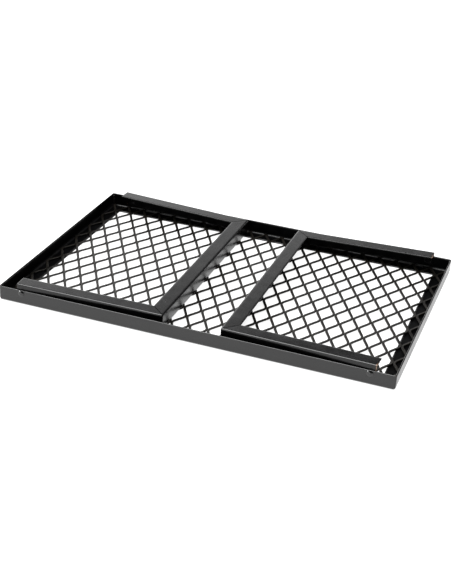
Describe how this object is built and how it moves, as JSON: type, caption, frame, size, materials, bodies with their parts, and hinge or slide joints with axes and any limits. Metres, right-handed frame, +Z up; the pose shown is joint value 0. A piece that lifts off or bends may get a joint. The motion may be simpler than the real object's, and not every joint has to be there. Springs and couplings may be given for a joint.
{
  "type": "folding camp grill grate",
  "caption": "Rectangular angle-iron grate with an expanded-metal panel and folding U-shaped legs riveted inside the frame.",
  "frame": {"origin": "centre of the footprint, on the surface that the frame's flanges lie on", "axes": "+X along the long side, +Z up out of the frame, from the cooking face towards the folded legs"},
  "size_m": [0.6096, 0.4122, 0.0318],
  "materials": {
    "frame_enamel": "semi-gloss black enamel over bent steel angle, light orange peel",
    "leg_enamel": "semi-gloss black enamel over bent steel angle, rubbed along the edges",
    "mesh_enamel": "semi-gloss black enamel on expanded steel",
    "rivet_enamel": "glossy black enamel on the rivet heads",
    "weld_enamel": "black enamel over rippled weld beads",
    "washer_steel": "plain zinc-plated steel"
  },
  "bodies": {
    "grate": {"rail_front": "frame_enamel", "rail_back": "frame_enamel", "rail_left": "frame_enamel", "rail_right": "frame_enamel", "mesh_panel": "mesh_enamel", "frame_weld_left_front": "weld_enamel", "frame_weld_left_back": "weld_enamel", "frame_weld_right_front": "weld_enamel", "frame_weld_right_back": "weld_enamel", "rivet_left_front": "rivet_enamel", "rivet_left_back": "rivet_enamel", "rivet_right_front": "rivet_enamel", "rivet_right_back": "rivet_enamel", "washer_left_front": "washer_steel", "washer_left_back": "washer_steel", "washer_right_front": "washer_steel", "washer_right_back": "washer_steel"},
    "left_leg": {"left_arm_front": "leg_enamel", "left_arm_back": "leg_enamel", "left_foot_bar": "leg_enamel", "leg_weld_left_front": "weld_enamel", "leg_weld_left_back": "weld_enamel"},
    "right_leg": {"right_arm_front": "leg_enamel", "right_arm_back": "leg_enamel", "right_foot_bar": "leg_enamel", "leg_weld_right_front": "weld_enamel", "leg_weld_right_back": "weld_enamel"}
  },
  "joints": [
    {"name": "left_leg_fold", "type": "hinge", "parent": "grate", "child": "left_leg", "pos_m": [-0.2672, 0, 0.0184], "axis": [0, -1, 0], "range_deg": [0, 112]},
    {"name": "right_leg_fold", "type": "hinge", "parent": "grate", "child": "right_leg", "pos_m": [0.2672, 0, 0.0184], "axis": [0, 1, 0], "range_deg": [0, 112]}
  ]
}
